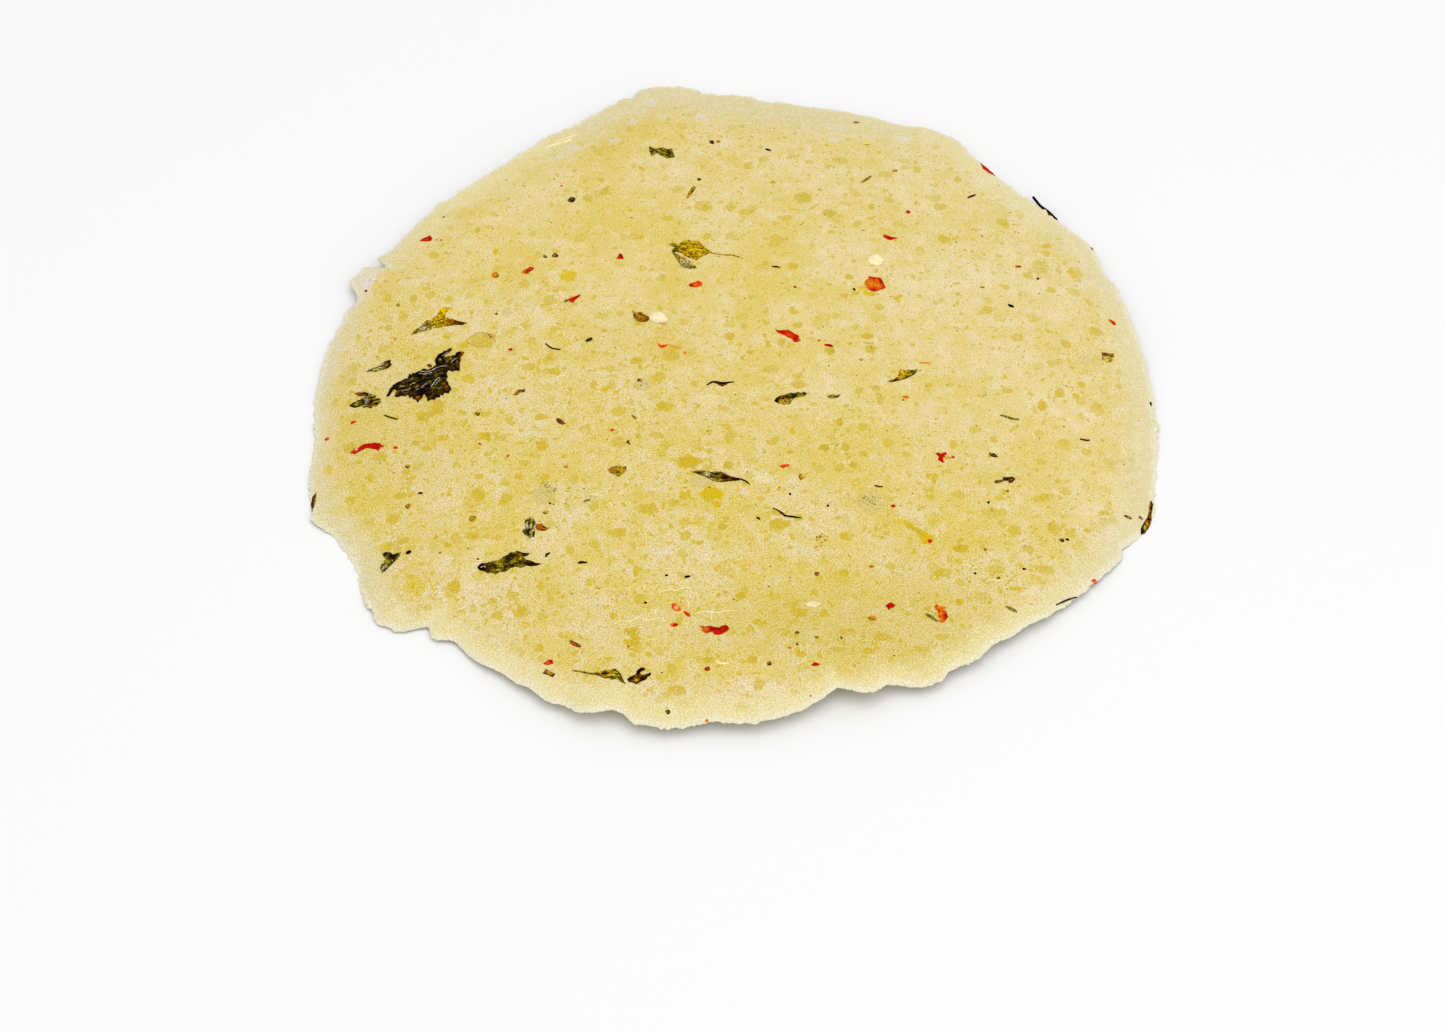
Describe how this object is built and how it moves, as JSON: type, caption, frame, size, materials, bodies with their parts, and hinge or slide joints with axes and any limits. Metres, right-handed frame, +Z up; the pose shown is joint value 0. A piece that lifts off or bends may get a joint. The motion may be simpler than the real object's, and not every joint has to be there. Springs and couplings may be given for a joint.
{
  "type": "papadum",
  "caption": "Raw papadum: a thin round disc of dried, spiced dough, crowned in the middle, with an uneven drooping rim.",
  "frame": {"origin": "below the middle of the disc's box, on the plane that the rim rests on", "axes": "+Z up, out of the shown face; +Y towards the rim's far corner; -Y towards the near rim"},
  "size_m": [0.169, 0.1761, 0.0075],
  "materials": {
    "dough": "matt, slightly see-through dried dough, pale cream yellow with olive gold spots and a whiter rim",
    "herb": "dried herb leaf, dark green to black, a little waxy",
    "chilli": "dried red chilli skin, half gloss",
    "seed": "pale chilli seed, satin",
    "spice": "brown and golden crumbs of spice, matt"
  },
  "bodies": {
    "root": {"papadum": "dough"}
  },
  "joints": []
}
